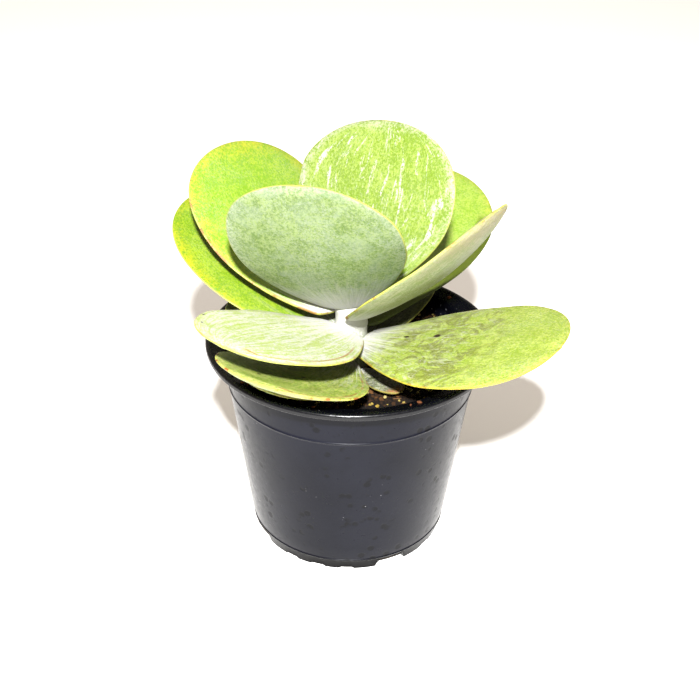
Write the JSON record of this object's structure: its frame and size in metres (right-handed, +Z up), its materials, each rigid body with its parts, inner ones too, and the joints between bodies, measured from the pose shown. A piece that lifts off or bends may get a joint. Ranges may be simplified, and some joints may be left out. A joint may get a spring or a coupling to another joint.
{
  "type": "paddle plant",
  "caption": "Rosette of broad, thick, paddle-shaped leaves in crossed pairs on a short stem, in a round black plastic nursery pot with a flared rim and toothed foot.",
  "frame": {"origin": "centre of the underside of the pot, on the plane it stands on", "axes": "+Z up along the pot's axis, -Y towards the viewer of the picture, +X to the viewer's right"},
  "size_m": [0.1492, 0.1511, 0.1651],
  "materials": {
    "pot_plastic": "satin",
    "soil": "matte",
    "stem": "matte",
    "leaf_blue_green": "matte",
    "leaf_glossy": "satin",
    "leaf_lime": "satin",
    "leaf_pale": "matte",
    "leaf_mottled": "satin",
    "leaf_old": "satin"
  },
  "bodies": {
    "root": {"pot": "pot_plastic", "soil": "soil", "stem": "stem", "leaf_inner_front": "leaf_blue_green", "leaf_inner_back": "leaf_glossy", "leaf_left_back": "leaf_lime", "leaf_right": "leaf_blue_green", "leaf_left_front": "leaf_pale", "leaf_right_back": "leaf_lime", "leaf_low_left_back": "leaf_lime", "leaf_low_right": "leaf_mottled", "leaf_low_left_front": "leaf_old", "leaf_shaded_back": "leaf_old", "leaf_under_left": "leaf_old", "leaf_under_front": "leaf_old", "leaf_basal": "leaf_pale"}
  },
  "joints": []
}
